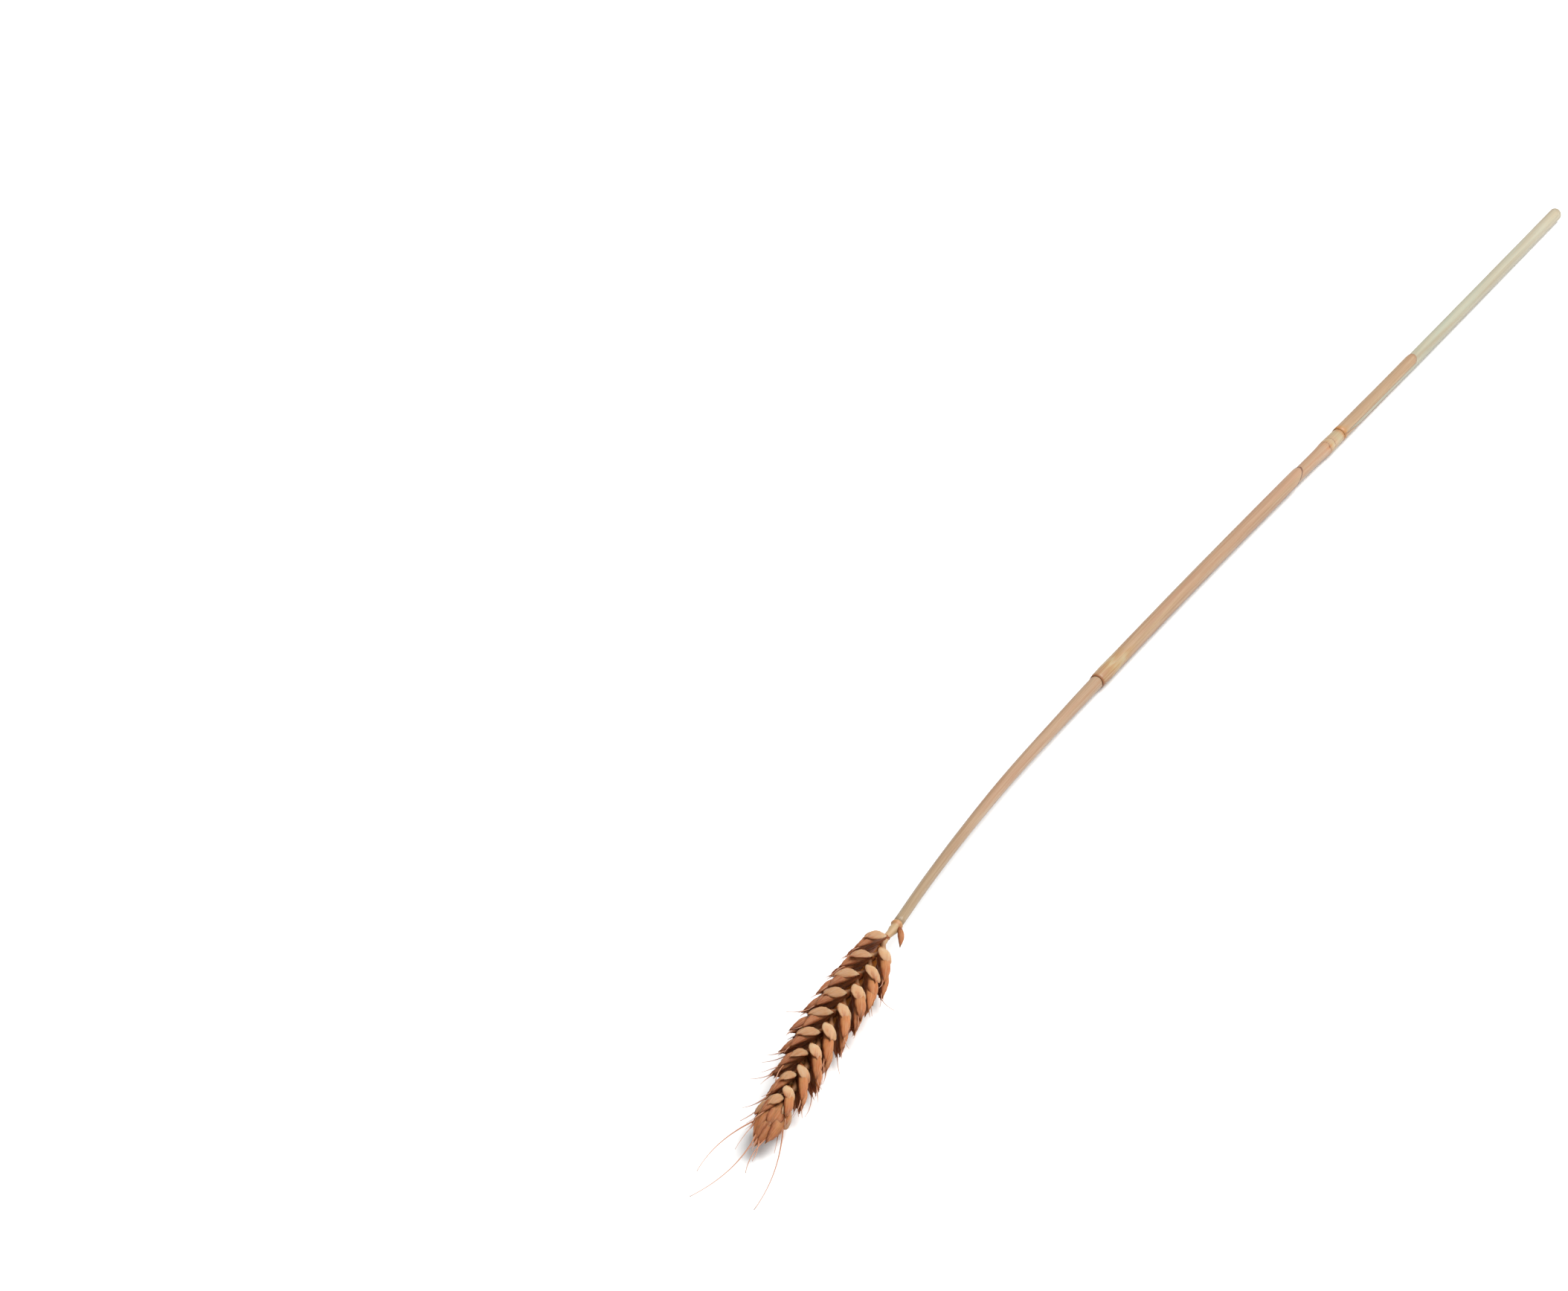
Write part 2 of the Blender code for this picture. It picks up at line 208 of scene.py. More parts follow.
def ramp(tree, factor, stops):
    # stops are (position, colour)
    node = addNode(tree, "ShaderNodeValToRGB")
    elements = node.color_ramp.elements
    while len(elements) < len(stops):
        elements.new(0.5)
    for element, (position, colour) in zip(elements, stops):
        element.position = position
        element.color = colour
    feed(tree, factor, node.inputs[0])
    return node.outputs[0]


def mapRange(tree, value, low, high, toLow=0.0, toHigh=1.0):
    node = addNode(tree, "ShaderNodeMapRange", interpolation_type="SMOOTHSTEP")
    feed(tree, value, node.inputs[0])
    for socket, number in zip(node.inputs[1:5], (low, high, toLow, toHigh)):
        socket.default_value = number
    return node.outputs[0]


def noiseAt(tree, place, scale, detail, roughness=0.55):
    node = addNode(tree, "ShaderNodeTexNoise")
    feed(tree, place, node.inputs["Vector"])
    feed(tree, scale, node.inputs["Scale"])
    node.inputs["Detail"].default_value = detail
    node.inputs["Roughness"].default_value = roughness
    return node.outputs[0]


def stretched(tree, place, scale):
    node = addNode(tree, "ShaderNodeMapping")
    feed(tree, place, node.inputs["Vector"])
    feed(tree, scale, node.inputs["Scale"])
    return node.outputs[0]


# The light is strong enough to whiten the floor, so a skin is darker than it is seen.
lightOverWhite = 1.7


def seen(red, green, blue):
    def linear(value):
        value /= 255.0
        value = value / 12.92 if value <= 0.04045 else ((value + 0.055) / 1.055) ** 2.4
        return value / lightOverWhite

    return (linear(red), linear(green), linear(blue), 1.0)


def newGroup(name, inputs, outputs):
    tree = bpy.data.node_groups.new(name, "ShaderNodeTree")
    for label, kind, value in inputs:
        socket = tree.interface.new_socket(name=label, in_out="INPUT", socket_type=kind)
        if value is not None:
            socket.default_value = value
    for label, kind in outputs:
        tree.interface.new_socket(name=label, in_out="OUTPUT", socket_type=kind)
    start = addNode(tree, "NodeGroupInput")
    end = addNode(tree, "NodeGroupOutput")
    return tree, start.outputs, end.inputs


def useGroup(tree, group, **inputs):
    node = addNode(tree, "ShaderNodeGroup")
    node.node_tree = group
    for label, value in inputs.items():
        feed(tree, value, node.inputs[label])
    return node.outputs


def makeFibres():
    # long streaks that follow the plant's fibres: coarse bands, fine lines, and their height
    tree, given, out = newGroup(
        "fibres",
        [
            ("Place", "NodeSocketVector", None),
            ("Length", "NodeSocketFloat", 0.03),
            ("Fineness", "NodeSocketFloat", 2.2),
        ],
        [("Bands", "NodeSocketFloat"), ("Lines", "NodeSocketFloat"), ("Height", "NodeSocketFloat")],
    )
    scale = addNode(tree, "ShaderNodeCombineXYZ")
    scale.inputs[0].default_value = 1.0
    scale.inputs[1].default_value = 1.0
    feed(tree, given["Length"], scale.inputs[2])
    place = stretched(tree, given["Place"], scale.outputs[0])
    bands = noiseAt(tree, place, 0.7, 2.0)
    fine = noiseAt(tree, place, given["Fineness"], 4.0, 0.6)
    feed(tree, mapRange(tree, bands, 0.3, 0.7), out["Bands"])
    feed(tree, mapRange(tree, fine, 0.32, 0.68), out["Lines"])
    low = mathNode(tree, "MULTIPLY", bands, 0.4)
    feed(tree, mathNode(tree, "ADD", fine, low), out["Height"])
    return tree


def makeBlotches():
    # soft mottling and small dark flecks of dry plant skin
    tree, given, out = newGroup(
        "blotches",
        [("Place", "NodeSocketVector", None), ("Size", "NodeSocketFloat", 0.35)],
        [("Mottle", "NodeSocketFloat"), ("Flecks", "NodeSocketFloat")],
    )
    soft = noiseAt(tree, given["Place"], given["Size"], 3.0, 0.5)
    feed(tree, mapRange(tree, soft, 0.35, 0.68), out["Mottle"])
    small = noiseAt(tree, stretched(tree, given["Place"], (1.0, 1.0, 0.35)), 1.9, 2.0)
    feed(tree, mapRange(tree, small, 0.66, 0.78), out["Flecks"])
    return tree


fibres = makeFibres()
blotches = makeBlotches()


def newMaterial(name, **sockets):
    material = bpy.data.materials.new(name)
    material.use_nodes = True
    tree = material.node_tree
    shader = tree.nodes["Principled BSDF"]
    for label, value in sockets.items():
        shader.inputs[label.replace("_", " ")].default_value = value
    return material, tree, shader


def readVector(tree, name):
    node = addNode(tree, "ShaderNodeAttribute", attribute_name=name)
    parts = addNode(tree, "ShaderNodeSeparateXYZ")
    tree.links.new(node.outputs["Vector"], parts.inputs[0])
    return node.outputs["Vector"], parts.outputs


def addBump(tree, shader, height, strength, distance):
    bump = addNode(tree, "ShaderNodeBump")
    bump.inputs["Strength"].default_value = strength
    bump.inputs["Distance"].default_value = distance
    feed(tree, height, bump.inputs["Height"])
    tree.links.new(bump.outputs[0], shader.inputs["Normal"])


# a husk's tone of 0 to 1 is spread over this many millimetres of "grain", so that its noise differs too
toneSpan = 40.0
# how strongly each effect shows on every husk
huskSkin = {
    "fibreLength": 0.10,
    "fineness": 2.6,
    "blotchSize": 0.30,
    "mottle": 0.24,
    "ripeMost": 0.8,
    "bands": 0.22,
    "edgeAndFlankShadeMost": 0.9,
    "flecks": 0.25,
    "toneRange": (0.84, 1.08),
    "roughness": (0.72, 0.58),
    "bumpDepth": 0.00016,
}
huskColours = {
    "glume": {
        "base": seen(200, 162, 118),
        "middle": seen(212, 174, 133),
        "tip": seen(208, 150, 104),
        "ripe": seen(188, 128, 78),
        "vein": seen(224, 190, 152),
        "dark": seen(176, 96, 46),
        "margin": seen(160, 82, 36),
        # the next colour is painted shade, for places deep between the rows
        "deepShade": seen(178, 112, 54),
        "deepShadeMost": 0.5,
        "edgeAndFlankShadeFrom": 0.66,
        "streak": 0.30,
        "bump": 0.45,
    },
    "lemma": {
        # the dark base is painted shade, where the floret sits under the glumes
        "base": seen(124, 62, 20),
        "middle": seen(200, 124, 68),
        "tip": seen(190, 102, 42),
        "ripe": seen(160, 78, 24),
        "vein": seen(226, 168, 114),
        "dark": seen(128, 60, 24),
        "margin": seen(140, 66, 22),
        # the next colour is painted shade, for places deep between the rows
        "deepShade": seen(160, 80, 26),
        "deepShadeMost": 0.6,
        # on the lemmas the edge colour spreads over the flanks as painted shade, leaving a lighter keel
        "edgeAndFlankShadeFrom": 0.30,
        "streak": 0.40,
        "bump": 0.55,
    },
}


def huskMaterial(name, colours):
    material, tree, shader = newMaterial(
        name,
        Specular_IOR_Level=0.32,
        Subsurface_Weight=0.35,
        Subsurface_Radius=(1.0, 0.45, 0.18),
        Subsurface_Scale=0.0016,
    )
    place, grain = readVector(tree, "grain")
    _, growth = readVector(tree, "growth")
    streaks = useGroup(
        tree, fibres, Place=place, Length=huskSkin["fibreLength"], Fineness=huskSkin["fineness"]
    )
    marks = useGroup(tree, blotches, Place=place, Size=huskSkin["blotchSize"])
    uneven = mathNode(tree, "SUBTRACT", marks["Mottle"], 0.5)
    mottle = mathNode(tree, "MULTIPLY", uneven, huskSkin["mottle"])
    # colour along each husk from base to tip; the lemmas' dark base is painted shade
    colour = ramp(
        tree,
        mathNode(tree, "ADD", growth[0], mottle),
        [(0.0, colours["base"]), (0.42, colours["middle"]), (0.82, colours["tip"]), (1.0, colours["dark"])],
    )
    ripe = mathNode(tree, "MULTIPLY", mapRange(tree, growth[2], 0.2, 1.0), huskSkin["ripeMost"])
    colour = mixColour(tree, ripe, colour, colours["ripe"])
    veins = mathNode(tree, "MULTIPLY", streaks["Lines"], colours["streak"])
    colour = mixColour(tree, veins, colour, colours["vein"])
    bands = mathNode(tree, "MULTIPLY", streaks["Bands"], huskSkin["bands"])
    colour = mixColour(tree, bands, colour, colours["tip"])
    # darker edges; on the lemmas this reaches far over the flanks as painted shade
    edge = mathNode(tree, "ADD", growth[1], mottle)
    margin = mapRange(tree, edge, colours["edgeAndFlankShadeFrom"], 1.0, 0.0, huskSkin["edgeAndFlankShadeMost"])
    colour = mixColour(tree, margin, colour, colours["margin"])
    # painted shade deep between the rows, where the ripeness has been taken below 0
    deepShade = mapRange(tree, growth[2], -1.7, 0.0, colours["deepShadeMost"], 0.0)
    colour = mixColour(tree, deepShade, colour, colours["deepShade"])
    flecks = mathNode(tree, "MULTIPLY", marks["Flecks"], huskSkin["flecks"])
    colour = mixColour(tree, flecks, colour, colours["dark"])
    # the tone differs at random from husk to husk, and by row as painted shade and light
    tone = mapRange(tree, grain[1], 0.0, toneSpan, *huskSkin["toneRange"])
    shade = addNode(tree, "ShaderNodeCombineXYZ")
    for socket in shade.inputs:
        feed(tree, tone, socket)
    colour = mixColour(tree, 1.0, colour, shade.outputs[0], "MULTIPLY")
    tree.links.new(colour, shader.inputs["Base Color"])
    roughness = mapRange(tree, streaks["Lines"], 0.0, 1.0, *huskSkin["roughness"])
    feed(tree, roughness, shader.inputs["Roughness"])
    addBump(tree, shader, streaks["Height"], colours["bump"], huskSkin["bumpDepth"])
    return material


ear = {
    "rollDeg": 20.0,
    "zigzag": 0.55,
    "firstSpikelet": 9.3,
    "step": 4.8,
    "spikelets": 17,
    "splayDeg": 25.0,
    "splayJitter": 2.0,
    "closingCount": 5,
    "closingStep": 0.10,
    "rootOut": 0.25,
    "size": (0.84, 0.20),
    "fullAt": (0.28, 0.8),
    "terminalAt": 88.5,
    "terminalFullness": 1.3,
    "deepWithin": 1.4,
    "openBeyond": 4.8,
    "seed": 11,
}

rachis = {
    "length": 90.0,
    # distance, radius and sideways offset of the ring and the foot under it
    "foot": [(-0.28, 1.44, 0.0), (0.0, 1.52, 0.0), (0.4, 1.68, 0.0), (0.8, 1.56, 0.0), (2.6, 1.38, 0.0)],
    "radius": 1.15,
    "taper": 0.35,
    "endRadius": 0.85,
    "swing": 1.0,
    "waist": 0.30,
    "sides": 28,
    "longFrom": 1.5,
    "longRings": 7,
    "shortRings": 2,
    "ribs": 9,
    "ribHeight": 0.03,
    "across": 1.04,
    "flatness": 0.92,
}

# start, sideways offset, fan angle, length, width and depth, as in the CAD
stub = (-2.6, 0.0, 0.0, 12.0, 2.7, 3.0)
glume = (-1.2, 1.55, 12.0, 9.2, 4.3, 3.0)
florets = [
    (1.2, 1.25, 9.0, 13.2, 3.8, 3.0),
    (2.0, -1.25, -9.0, 13.0, 3.8, 3.0),
    (4.6, 0.4, 4.5, 12.0, 3.1, 2.7),
    (6.2, -0.4, -5.5, 10.4, 2.7, 2.4),
]
# how the rows lie in the photo: spikelets slip tipwards, the right row leans over the rachis near
# the tip, and painted shade on the left row and painted light on the right row, carried by ripeness
# and tone, set the two rows apart
settled = {
    "slip": 1.2,
    "rightSlip": 1.4,
    "rightLean": 1.2,
    "rightRise": 0.3,
    "leanFrom": 6.0,
    "leanOver": 5.0,
    "leftShorter": 0.86,
    "rightGlume": (0.88, 1.10),
    "sink": 0.08,
    "leftRowShade": 0.5,
    "rightRowLight": -0.5,
    "rowShadeSplit": 0.5,
    "coverTone": 0.3,
}
# broad scales that close the fan at the ear's tip: scale, and the side that each leans to
terminalCovers = [
    ((-0.4, 0.5, 0.0, 11.5, 4.4, 2.2), -1.4),
    ((-1.4, 0.8, 1.0, 12.5, 6.0, 2.5), 0.5),
]
# hairs too fine for the CAD: spikelet, floret, length, lean left, rise
fineAwns = [
    (1, 1, 6.0, -70.0, -6.0),
    (3, 0, 5.0, -26.0, 0.0),
    (6, 2, 6.0, 44.0, 0.0),
    (7, 1, 7.0, -30.0, -2.0),
    (9, 0, 8.5, -18.0, 0.0),
    (10, 1, 7.0, 36.0, -2.0),
    (11, 1, 9.0, -8.0, 0.0),
    (12, 2, 7.0, 40.0, -4.0),
    (14, 3, 8.0, 30.0, 0.0),
    (15, 1, 10.0, -12.0, 2.0),
    (16, 3, 12.0, 4.0, -2.0),
]
# the thickest hairs: spikelet, length, lean left, rise
longAwns = [
    (12, 9.0, -14.0, 2.0),
    (14, 12.0, 16.0, 4.0),
    (15, 28.0, -8.0, -3.0),
    (16, 26.0, 15.0, 3.0),
    (17, 31.0, 12.0, 3.0),
    (17, 12.0, 3.0, -2.0),
    (17, 7.0, -14.0, 3.0),
]
# base radius, tip radius, rings, and how far back in its scale each kind of hair starts
awnForms = {
    "bristle": (0.32, 0.035, 9, 2.4),
    "long": (0.24, 0.10, 20, 2.2),
    "fine": (0.20, 0.06, 16, 2.0),
}
longBow = (0.10, 0.18)
bristles = {
    "short": (0.6, 2.4),
    "full": (2.2, 4.2),
    "longerFrom": 10,
    "longerBy": 1.5,
    "hookSide": 0.45,
    "hookRise": 0.25,
}
# the small scale under the ring, in the same order as the florets; its ways are (tipward, left)
sterile = {
    "scale": (0.0, 0.4, 2.0, 8.0, 2.4, 1.9),
    "along": 1.2,
    "aside": 0.9,
    "axis": (0.88, -0.44),
    "outward": (-0.3, -0.9),
}

huskForm = {
    "rows": 20,
    "columns": 20,
    "keelFocus": 1.35,
    "glume": {
        "outline": [
            (0.0, 0.0), (0.12, 0.34), (0.26, 0.66), (0.42, 0.90), (0.58, 1.0), (0.74, 0.95), (0.86, 0.80),
            (0.94, 0.62), (1.0, 0.42),
        ],
        "rise": 1.9,
        "wrap": 112.0,
        "stretch": 1.08,
        "keel": 0.34,
        "bow": 0.10,
        "depth": 0.83,
        "root": 0.6,
        "inward": 0.0,
        "stray": 0.025,
        "tooth": 0.12,
        "veins": 7.0,
        "veinHeight": 0.03,
    },
    "lemma": {
        "outline": [
            (0.0, 0.20), (0.20, 0.60), (0.42, 0.84), (0.60, 0.84), (0.78, 0.58), (0.92, 0.27), (1.0, 0.04),
        ],
        "rise": 1.0,
        "wrap": 126.0,
        "stretch": 1.0,
        "keel": 0.30,
        "bow": 0.20,
        "depth": 0.96,
        "root": 0.0,
        "inward": 0.10,
        "stray": 0.06,
        "tooth": 0.04,
        "veins": 9.0,
        "veinHeight": 0.035,
    },
    "bodySides": 12,
    "bodySteps": 14,
    "bodyShrink": 0.84,
    "bodyToneSpan": 38.0,
    "bodyOutline": [
        (0.0, 0.40), (0.20, 0.84), (0.42, 0.95), (0.60, 0.86), (0.78, 0.58), (0.92, 0.27), (1.0, 0.04),
    ],
    "cover": {
        "outline": [
            (0.0, 0.10), (0.15, 0.46), (0.35, 0.80), (0.58, 1.0), (0.78, 0.98), (0.90, 0.84), (0.96, 0.68),
            (1.0, 0.50),
        ],
        "rise": 1.2,
        "wrap": 96.0,
        "stretch": 1.0,
        "keel": 0.10,
        "bow": 0.20,
        "depth": 1.0,
        "root": 0.0,
        "inward": 0.06,
        "stray": 0.03,
        "tooth": 0.10,
        "veins": 13.0,
        "veinHeight": 0.07,
    },
    "rootReach": 0.25,
    "crumple": 0.08,
    "keelWay": (0.88, 0.47),
    "fanJitter": 2.5,
    "lengthJitter": (0.95, 1.05),
    "widthJitter": (0.94, 1.08),
    "twist": 0.34,
    "bend": 0.55,
    "wall": 0.15,
}


def earFrame(along):
    x = earBaseX - along
    here = routePoint(x)
    tipward = (routePoint(x - 1.0) - routePoint(x + 1.0)).normalized()
    left = Vector((0.0, 0.0, -1.0)).cross(tipward).normalized()
    up = left.cross(tipward).normalized()
    if up.z < 0.0:
        up = -up
    roll = math.radians(ear["rollDeg"])
    rolledLeft = left * math.cos(roll) + up * math.sin(roll)
    rolledUp = up * math.cos(roll) - left * math.sin(roll)
    return here, tipward, rolledLeft, rolledUp


def huskPoint(husk, t, turn, width, depth, extra):
    # a boat with a keel down its back, as in the CAD but with a sharper ridge
    form = husk["form"]
    half = profile(form["outline"], t)
    ridge = form["keel"] * max(0.0, 1.0 - abs(turn) / 0.9)
    outer = (math.cos(turn) + ridge) * depth / 2 * half ** form["rise"] + extra
    wide = math.sin(turn) * width / 2 * half
    bow = depth * form["bow"] * math.sin(math.pi * t) - husk["inward"] * t * t
    twist = husk["twist"] * (t - 0.3)
    side = husk["bend"] * t * t
    point = husk["base"] + husk["direction"] * (husk["length"] * t)
    point -= husk["root"] * max(0.0, 1.0 - t / huskForm["rootReach"]) ** 2
    across = husk["across"] * math.cos(twist) + husk["outward"] * math.sin(twist)
    outward = husk["outward"] * math.cos(twist) - husk["across"] * math.sin(twist)
    return point + across * (wide + side) + outward * (outer + bow)


def ripeWithDeepShade(point, ripe):
    # painted shade: a whole 2 is taken off the ripeness where a place lies deep between the rows, so the
    # shader darkens it there
    x = min(point.x, earBaseX)
    away = Vector((0.0, point.y - routePoint(x).y, point.z - routePoint(x).z)).length
    reach = (away - ear["deepWithin"]) / (ear["openBeyond"] - ear["deepWithin"])
    return ripe - 2.0 * (1.0 - min(1.0, max(0.0, reach)))


def addHuskShell(work, husk):
    rows = []
    form = husk["form"]
    seedPlace = husk["base"] * 0.7
    for i in range(huskForm["rows"] + 1):
        t = i / huskForm["rows"]
        wrap = math.radians(form["wrap"]) * (1.0 - 0.30 * t**3) * (0.80 + 0.20 * min(1.0, t / 0.3))
        fade = math.sin(math.pi * min(1.0, 0.06 + 0.94 * t)) ** 0.5 if t < 0.97 else 0.3
        ring = []
        for j in range(huskForm["columns"] + 1):
            across = 2.0 * j / huskForm["columns"] - 1.0
            edge = abs(across)
            turn = wrap * math.copysign(edge ** huskForm["keelFocus"], across)
            vein = form["veinHeight"] * math.cos(turn * form["veins"]) * fade
            reach = t + form["tooth"] * t**4 * (math.exp(-((turn / 0.25) ** 2)) - 0.6 * edge**3)
            width = husk["width"] * (1 + 0.12 * edge**4 * t)
            point = huskPoint(husk, t, turn, width, husk["depth"], vein)
            point += husk["direction"] * (husk["length"] * (reach - t))
            point += husk["outward"] * (noise.noise(point * 0.55 + seedPlace) * huskForm["crumple"] * fade)
            grainPlace = Vector((turn * husk["width"] / 2, husk["tone"] * toneSpan, husk["length"] * t))
            edgeMark = max(edge**2, (t - 0.80) * 4.6)
            ring.append((point, grainPlace, Vector((t, edgeMark, ripeWithDeepShade(point, husk["ripe"])))))
        rows.append(ring)
    addGrid(work, rows)


def addHuskBody(work, husk, shrink):
    # the inner husk closed round its grain, which fills the shell
    rows = []
    sides, steps = huskForm["bodySides"], huskForm["bodySteps"]
    husk = dict(husk, form=dict(husk["form"], outline=huskForm["bodyOutline"]))
    for i in range(steps + 1):
        t = 0.02 + 0.93 * i / steps
        ring = []
        for j in range(sides):
            turn = math.pi - 2.0 * math.pi * j / sides
            crease = -0.12 * math.exp(-(((abs(turn) - math.pi) / 0.4) ** 2))
            point = huskPoint(husk, t, turn, husk["width"] * shrink, husk["depth"] * shrink, crease)
            tone = math.cos(turn) + husk["tone"] * huskForm["bodyToneSpan"]
            grainPlace = Vector((math.sin(turn), tone, husk["length"] * t))
            ring.append((point, grainPlace, Vector((0.15 + 0.6 * t, 0.7, ripeWithDeepShade(point, husk["ripe"])))))
        rows.append(ring)
    addGrid(work, rows, closed=True, capEnds=True)


def addStrand(work, tip, heading, middle, end, form, tone, ripe):
    # a tapering hair that grows out of a scale's tip and curves towards middle, then end
    thick, thin, steps, back = form
    start = tip - heading * back
    rows = []
    for i in range(steps + 1):
        t = i / steps
        radius = thick + (thin - thick) * t**0.55
        centre = start * (1 - t) ** 2 + middle * (2 * t * (1 - t)) + end * t * t
        along = ((middle - start) * (1 - t) + (end - middle) * t).normalized()
        side = along.cross(Vector((0.0, 0.0, 1.0))).normalized()
        top = side.cross(along).normalized()
        ring = []
        for j in range(6):
            turn = math.pi * j / 3
            point = centre + (side * math.cos(turn) + top * math.sin(turn)) * radius
            ring.append((point, Vector((j * 0.2, tone * toneSpan, 10.0 * t)), Vector((t, 0.3, ripe))))
        rows.append(ring)
    addGrid(work, rows, closed=True, capEnds=True)


def makeHusk(form, scale, place, axis, outward, face, size, draw, wild, ripe, terminal):
    start, offset, fan, length, width, depth = scale
    if terminal:
        width *= ear["terminalFullness"]
    turn = math.radians(fan + draw.uniform(-huskForm["fanJitter"], huskForm["fanJitter"]))
    stray = (outward * wild.uniform(-1.0, 1.0) + face * wild.uniform(-1.0, 1.0)) * huskForm[form]["stray"]
    direction = (axis * math.cos(turn) + face * math.sin(turn) + stray).normalized()
    side = 1.0 if offset >= 0.0 else -1.0
    keel = (face * side * huskForm["keelWay"][0] + outward * huskForm["keelWay"][1]).normalized()
    base = place + axis * (start * size) + face * (offset * size)
    length = length * size * draw.uniform(*huskForm["lengthJitter"])
    across = direction.cross(keel).normalized()
    length *= huskForm[form]["stretch"]
    return {
        "form": huskForm[form],
        "base": base,
        "direction": direction,
        "across": across,
        "outward": across.cross(direction).normalized(),
        "keel": keel,
        "length": length,
        "width": width * size * wild.uniform(*huskForm["widthJitter"]),
        "depth": depth * size * huskForm[form]["depth"],
        "root": face * (offset * size * huskForm[form]["root"]),
        "inward": huskForm[form]["inward"] * length,
        "twist": wild.uniform(-huskForm["twist"], huskForm["twist"]),
        "bend": wild.uniform(-huskForm["bend"], huskForm["bend"]),
        "tone": wild.random(),
        "ripe": ripe,
    }


def huskTip(husk):
    tip = husk["base"] + husk["direction"] * husk["length"] - husk["keel"] * husk["inward"]
    return tip, (husk["direction"] - husk["keel"] * 0.10).normalized()


def toneAndShadeOfRow(husk, dark):
    # painted shade and light: the left row and the tip take the low half of the tone, the right row the
    # high half
    husk["tone"] *= settled["rowShadeSplit"]
    if not dark:
        husk["tone"] += 1.0 - settled["rowShadeSplit"]
    return husk


def buildSpikelet(number, works, draw, wild):
    terminal = number == ear["spikelets"]
    along = ear["terminalAt"] if terminal else ear["firstSpikelet"] + ear["step"] * number
    hand = 1.0 if number % 2 == 0 else -1.0
    ripe = along / ear["terminalAt"]
    lean = min(1.0, max(0.0, (number - settled["leanFrom"]) / settled["leanOver"])) if hand < 0.0 else 0.0
    if 0 < number < ear["spikelets"]:
        along += settled["slip"] + settled["rightSlip"] * lean
    here, tipward, left, up = earFrame(along)
    if terminal:
        axis, outward, face = tipward, up, left
        place = here
        size = 1.0
    else:
        # painted shade on the left row and painted light on the right row, carried by the ripeness
        ripe = max(0.0, ripe + settled["leftRowShade" if hand > 0.0 else "rightRowLight"])
        splay = math.radians(ear["splayDeg"] + draw.uniform(-ear["splayJitter"], ear["splayJitter"]))
        past = number - ear["spikelets"] + ear["closingCount"]
        if past > 0:
            splay *= 1.0 - ear["closingStep"] * past
        axis = (tipward * math.cos(splay) + left * (hand * math.sin(splay))).normalized()
        outward = (left * (hand * math.cos(splay)) - tipward * math.sin(splay)).normalized()
        face = up
        place = here + left * (hand * (ear["zigzag"] + ear["rootOut"]) + settled["rightLean"] * lean)
        place += up * (settled["rightRise"] * lean - settled["sink"])
        full = ear["fullAt"][0] + ear["fullAt"][1] * number / ear["spikelets"]
        size = ear["size"][0] + ear["size"][1] * math.sin(math.pi * min(1.0, full))
    given = (place, axis, outward, face, size, draw, wild, ripe, terminal)
    if terminal:
        for scale, turned in terminalCovers:
            cover = makeHusk("cover", scale, place, axis, left * turned, up, size, wild, wild, 1.0, False)
            cover["tone"] = settled["coverTone"]
            addHuskShell(works["lemma"], cover)
    addHuskBody(works["body"], makeHusk("lemma", stub, *given), 1.0)
    for sign in (1.0, -1.0):
        start, offset, fan, length, width, depth = glume
        if hand < 0.0:
            length *= settled["rightGlume"][0]
            width *= settled["rightGlume"][1]
        husk = makeHusk("glume", (start, offset * sign, fan * sign, length, width, depth), *given)
        addHuskShell(works["glume"], toneAndShadeOfRow(husk, hand > 0.0 or terminal))
    tips = []
    for start, offset, fan, length, width, depth in florets:
        if hand > 0.0 and not terminal:
            start *= settled["leftShorter"]
            length *= settled["leftShorter"]
        husk = makeHusk("lemma", (start, offset, fan, length, width, depth), *given)
        addHuskShell(works["lemma"], toneAndShadeOfRow(husk, hand > 0.0 or terminal))
        addHuskBody(works["body"], husk, huskForm["bodyShrink"])
        tips.append(huskTip(husk))
    return tips


def buildBristles(number, tips, work, draw, wild):
    ripe = number / ear["spikelets"]
    for index, (tip, direction) in enumerate(tips):
        if index % 2:
            length = wild.uniform(*bristles["short"])
        else:
            longer = bristles["longerBy"] if number > bristles["longerFrom"] else 0.0
            length = draw.uniform(*bristles["full"]) + longer
        side = direction.cross(Vector((0.0, 0.0, 1.0))).normalized()
        hook = side * (wild.uniform(-bristles["hookSide"], bristles["hookSide"]) * length)
        hook.z += wild.uniform(-bristles["hookRise"], bristles["hookRise"]) * length
        middle = tip + direction * (length * 0.35)
        end = tip + direction * length + hook
        addStrand(work, tip, direction, middle, end, awnForms["bristle"], wild.random(), ripe)


def leaningWay(along, leftLean, upLean):
    _, tipward, left, up = earFrame(along)
    lean = math.tan(math.radians(leftLean))
    rise = math.tan(math.radians(upLean))
    return (tipward + left * lean + up * rise).normalized(), left


def buildLongAwns(allTips, work, wild):
    for index, (number, length, leftLean, upLean) in enumerate(longAwns):
        tips = allTips[number]
        tip, heading = tips[index % len(tips)]
        direction, left = leaningWay(rachis["length"], leftLean, upLean)
        bow = wild.choice((-1.0, 1.0)) * wild.uniform(*longBow) * length
        end = tip + direction * length + Vector((0.0, 0.0, -min(2.0, length * 0.08)))
        middle = tip + direction * (length * 0.5) + left * bow
        addStrand(work, tip, heading, middle, end, awnForms["long"], wild.random(), 0.7)


def buildFineAwns(allTips, work, wild):
    for number, index, length, leftLean, upLean in fineAwns:
        tip, heading = allTips[number][index]
        along = min(rachis["length"], ear["firstSpikelet"] + ear["step"] * number)
        direction, _ = leaningWay(along, leftLean, upLean)
        middle = tip + heading * (length * 0.45)
        end = tip + direction * length
        addStrand(work, tip, heading, middle, end, awnForms["fine"], wild.random(), 0.7)


